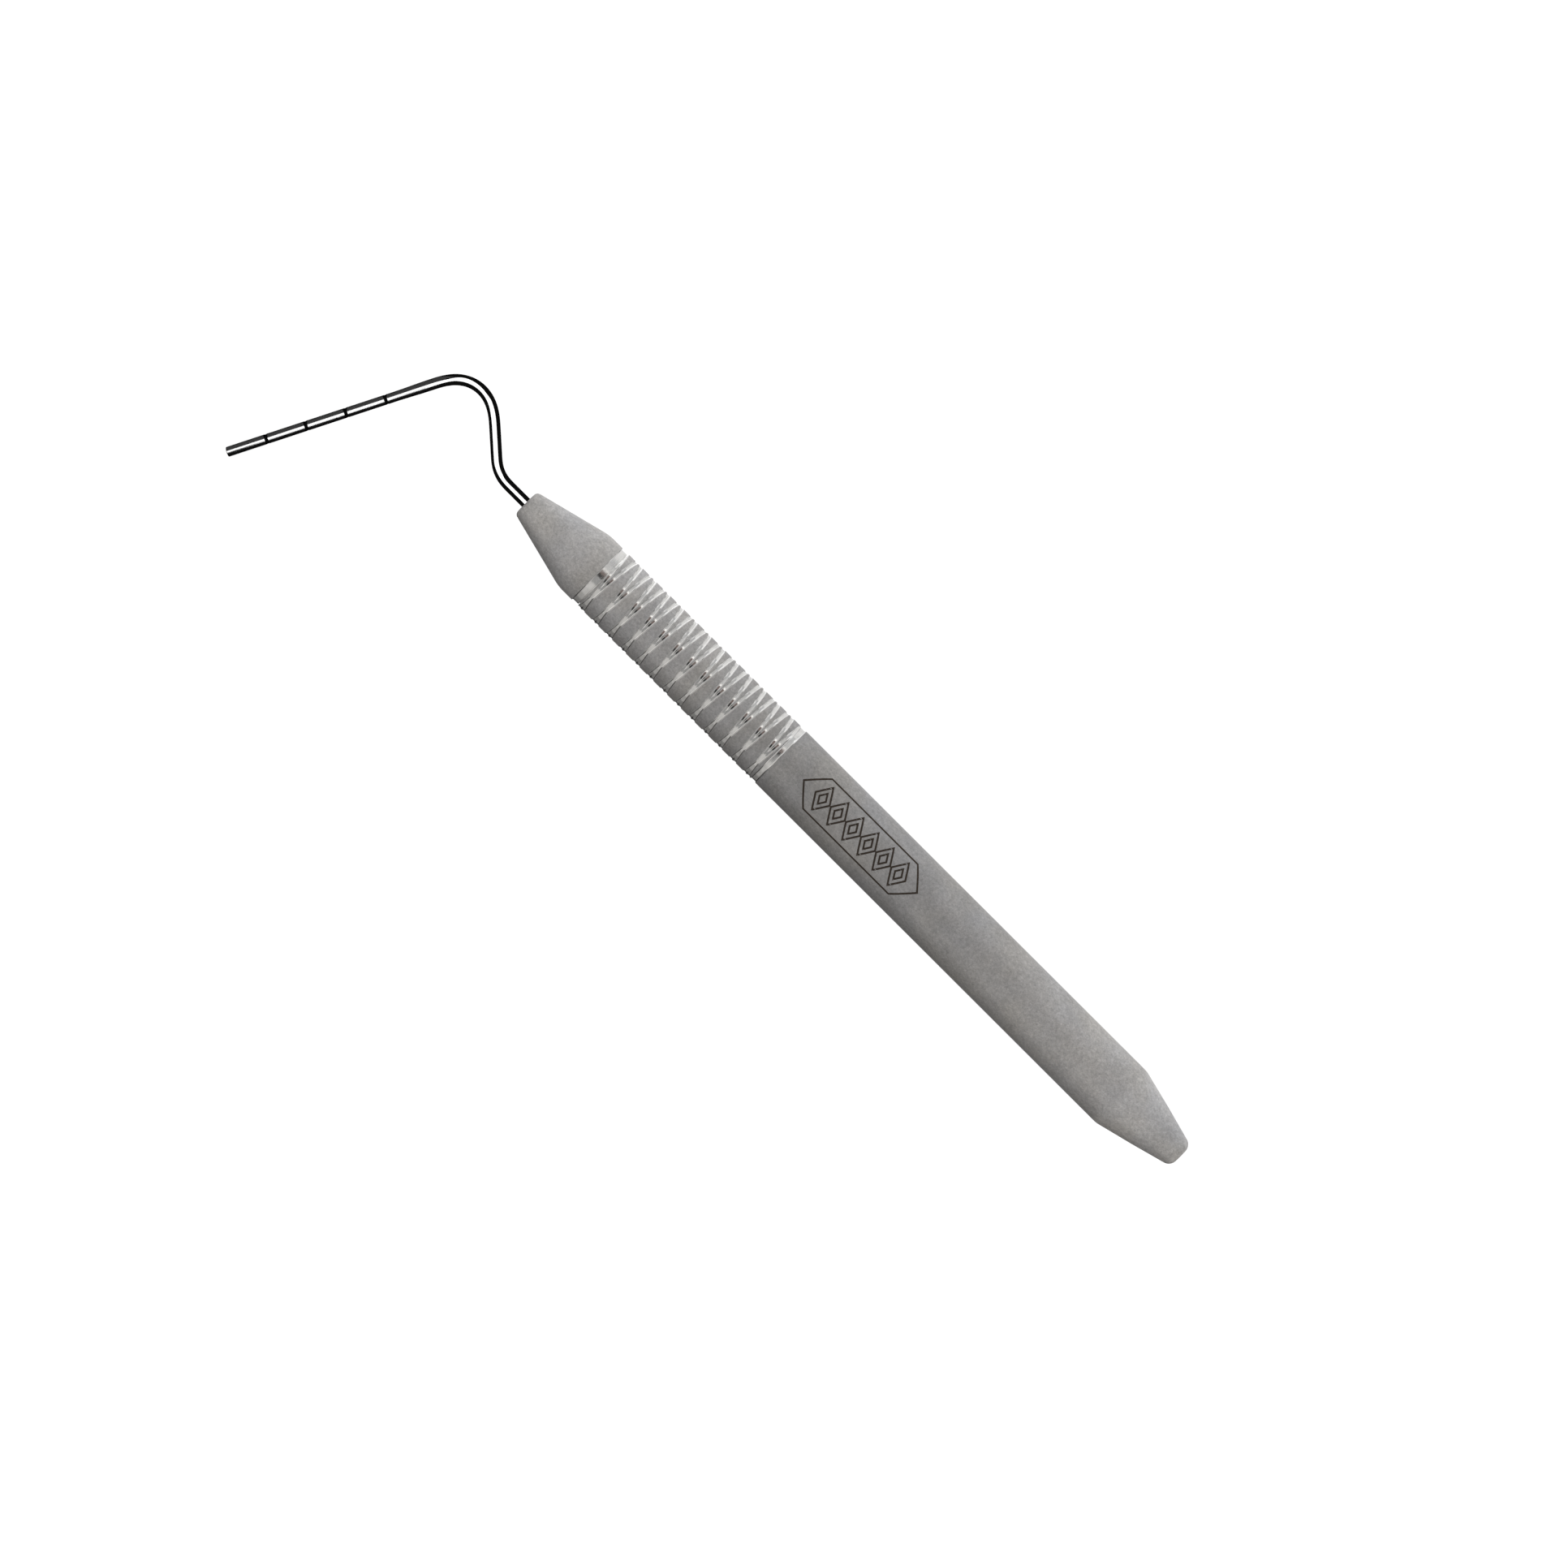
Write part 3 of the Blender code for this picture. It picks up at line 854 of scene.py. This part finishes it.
def overhead(name, right, up, radiance, lit, oval=False):
    """A level panel above the rod. Its spans to the picture's right and up are tangents of angles.

    An oval one lets the highlight change width gently where the rod bends.
    """
    size = ((right[1] - right[0]) * PANEL_DISTANCE, (up[1] - up[0]) * PANEL_DISTANCE)
    shift = PICTURE_RIGHT * sum(right) / 2 + PICTURE_UP * sum(up) / 2
    target = ROD_MIDDLE + shift * PANEL_DISTANCE
    panel = add_panel(name, Vector((0, 0, 1)), PICTURE_RIGHT, size, radiance, NEUTRAL, lit, target)
    if oval:
        panel.data.shape = "ELLIPSE"
        panel.data.energy *= math.pi / 4
    return panel


def collection_of(name, pieces):
    """A collection that a light can be linked to."""
    collection = bpy.data.collections.new(name)
    for piece in pieces:
        collection.objects.link(piece)
    return collection


# Angles across the handle run from overhead towards the rod's side. The bright grooves mirror the
# panels in the middle, and the blasted steel takes most of its light from the pairs over the ends. The
# columns are name, first angle, last angle, radiance (front and rear for the pairs) and colour.
MIDDLE_PANELS = (
    ("far_wall", -180, -84, 0.77, NEUTRAL),
    ("far_cool", -84, -53, 0.50, COOL),
    ("far_grey", -53, -31, 0.54, NEUTRAL),
    ("far_edge", -31, -24, 1.0, WARM),
    ("overhead_brown", -24, -9, 0.18, BROWN),
    ("overhead_dark", -9, 4, 0.04, NEUTRAL),
    ("rod_side_grey", 4, 31, 0.30, NEUTRAL),
    ("rod_side_wall", 31, 58, 0.55, WARM),
    ("rod_side_dim", 58, 85, 0.48, WARM),
    ("rod_side_low", 85, 115, 0.34, WARM),
    ("rod_side_under", 115, 150, 0.18, WARM),
    ("tray_bounce", 150, 180, 0.06, NEUTRAL),
)
END_PANELS = (
    ("key", -180, -70, 0.97, 0.80, COOL),
    ("top", -70, 0, 0.69, 0.65, NEUTRAL),
    ("low", 0, 70, 0.70, 0.67, WARM),
    ("under", 70, 130, 0.08, 0.08, WARM),
)
# Low lights for the two tapered ends alone: (name, the piece's place among the handle's, direction, radiance)
END_FILLS = (
    ("nose_fill", 0, (0.9, 0.8, -0.25), 0.26),
    ("nose_end", 0, (1.0, 0.1, -0.2), 0.32),
    ("rear_fill", 2, (-0.9, 0.8, -0.25), 0.20),
    ("rear_end", 2, (-1.0, 0.2, -0.2), 0.38),
)


def add_lights(handle_pieces, rod_pieces, floor):
    """Separate lights for the handle, the rod and the floor, and low ones for the tapered ends alone."""
    on_handle = collection_of("lit_handle", handle_pieces)
    on_rod = collection_of("lit_rod", rod_pieces)
    on_floor = collection_of("lit_floor", [floor])
    for name, low, high, radiance, colour in MIDDLE_PANELS:
        strip(name, low, high, MIDDLE_SPAN, radiance, colour, on_handle, PANEL_DISTANCE)
    for name, low, high, front, rear, colour in END_PANELS:
        strip(name + "_front", low, high, FRONT_SPAN, front, colour, on_handle, END_PANEL_DISTANCE)
        strip(name + "_rear", low, high, REAR_SPAN, rear, colour, on_handle, END_PANEL_DISTANCE)
    for name, end in (("room_front", Vector((1, 0, 0))), ("room_rear", Vector((-1, 0, 0)))):
        add_panel(name, end, Vector((0, 1, 0)), ROOM_SIZE, 0.2, NEUTRAL, on_handle, AXIS)
    for name, index, direction, radiance in END_FILLS:
        alone = collection_of("lit_by_" + name, [handle_pieces[index]])
        add_panel(name, Vector(direction), Vector((0, 0, 1)), FILL_SIZE, radiance, WARM, alone, AXIS)
    overhead("rod_box_long", (-1.4, 0.7), (-0.49, 0.24), 1.3, on_rod)
    overhead("rod_box_cross", (-0.34, 0.38), (-0.98, 1.22), 1.45, on_rod, oval=True)
    glow = (PICTURE_UP - 1.1 * PICTURE_RIGHT).normalized() + Vector((0, 0, 0.1))
    add_panel("rod_glow", glow, Vector((0, 0, 1)), (1.0, 0.6), 0.04, NEUTRAL, on_rod, ROD_MIDDLE)
    straight_up = Vector((0, 0, 1))
    add_panel("floor_light", straight_up, PICTURE_RIGHT, (1.5, 1.5), 0.5, NEUTRAL, on_floor, VIEW_CENTRE)


# ---------------------------------------------------------------- assembly


def build():
    """Makes every piece, the stage, the camera and the lights."""
    handle_finishes = [
        blasted_steel(),
        turned_steel("groove_steel", 0.001 * MM, 0.1),
        turned_steel("neck_steel", 0.004 * MM, 0.19),
    ]
    enamel = black_enamel()
    handle_pieces = [
        nose_shell(handle_finishes),
        barrel(handle_finishes),
        rear_cap(handle_finishes),
        emblem(etched_steel()),
    ]
    rod_pieces = [rod(rod_steel())] + [mark_ring(distance, enamel) for distance in MARKS]
    floor = add_floor()
    add_camera()
    add_world()
    add_lights(handle_pieces, rod_pieces, floor)
    bpy.context.scene.view_settings.view_transform = "Standard"


build()
